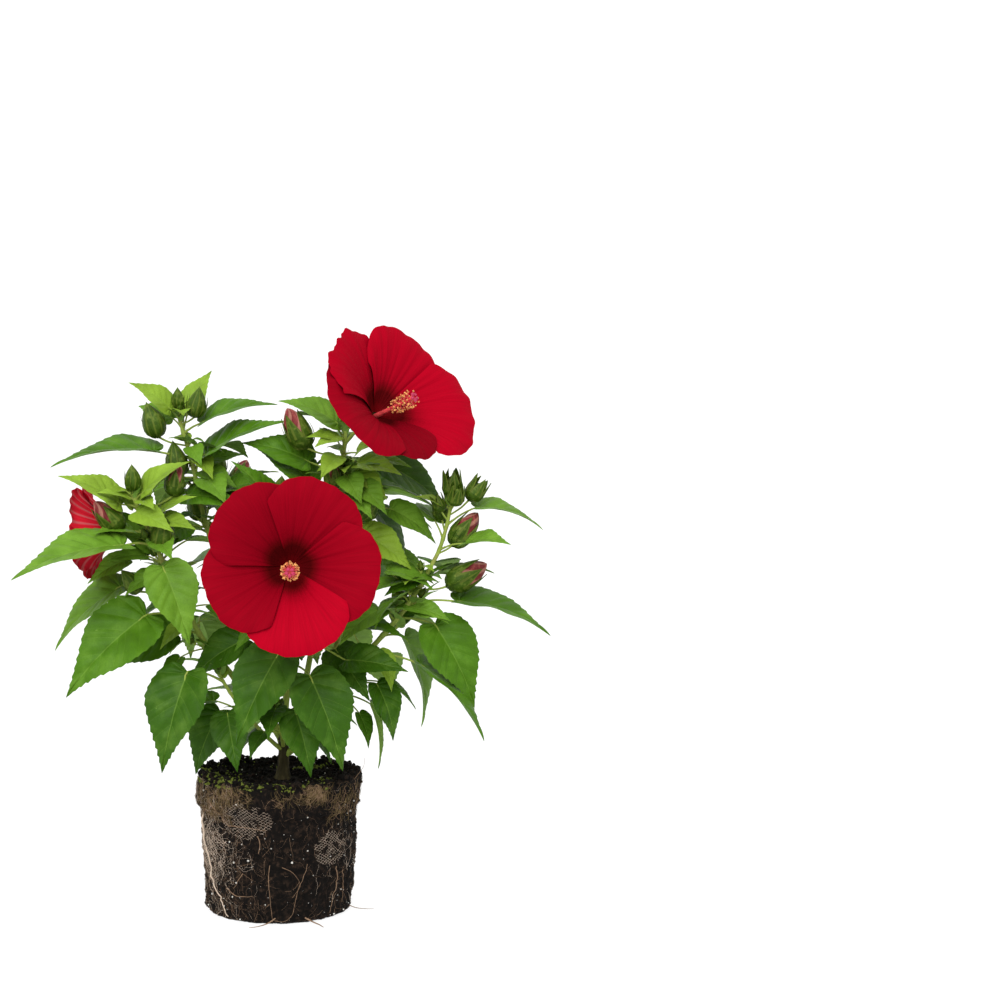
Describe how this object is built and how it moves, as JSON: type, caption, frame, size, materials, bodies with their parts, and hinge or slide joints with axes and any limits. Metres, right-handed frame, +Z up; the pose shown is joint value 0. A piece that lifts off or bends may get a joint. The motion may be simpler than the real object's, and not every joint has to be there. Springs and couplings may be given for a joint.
{
  "type": "hibiscus shrub",
  "caption": "Young hibiscus shrub with large crimson blooms and leafy branching shoots, standing on its bare root ball.",
  "frame": {"origin": "middle of the root ball's flat underside", "axes": "+Z up; the side that carries the full-face bloom looks along -Y; +X to the right of it"},
  "size_m": [0.5393, 0.3303, 0.6032],
  "materials": {
    "soil": "rough",
    "bark": "rough",
    "stem": "satin",
    "leaf": "satin",
    "petal": "satin"
  },
  "bodies": {
    "root": {"root_ball": "soil", "trunk": "bark", "stem_front": "stem", "stem_left": "stem", "stem_upper_left": "stem", "stem_top_right": "stem", "stem_right": "stem", "stem_back_left": "stem", "stem_back_right": "stem", "foliage_front": "leaf", "foliage_left": "leaf", "foliage_upper_left": "leaf", "foliage_top_right": "leaf", "foliage_right": "leaf", "foliage_back_left": "leaf", "foliage_back_right": "leaf", "foliage_low_left": "leaf", "foliage_low_front": "leaf", "foliage_low_back": "leaf", "bloom_front": "petal", "bloom_top": "petal", "bloom_left": "petal"}
  },
  "joints": []
}
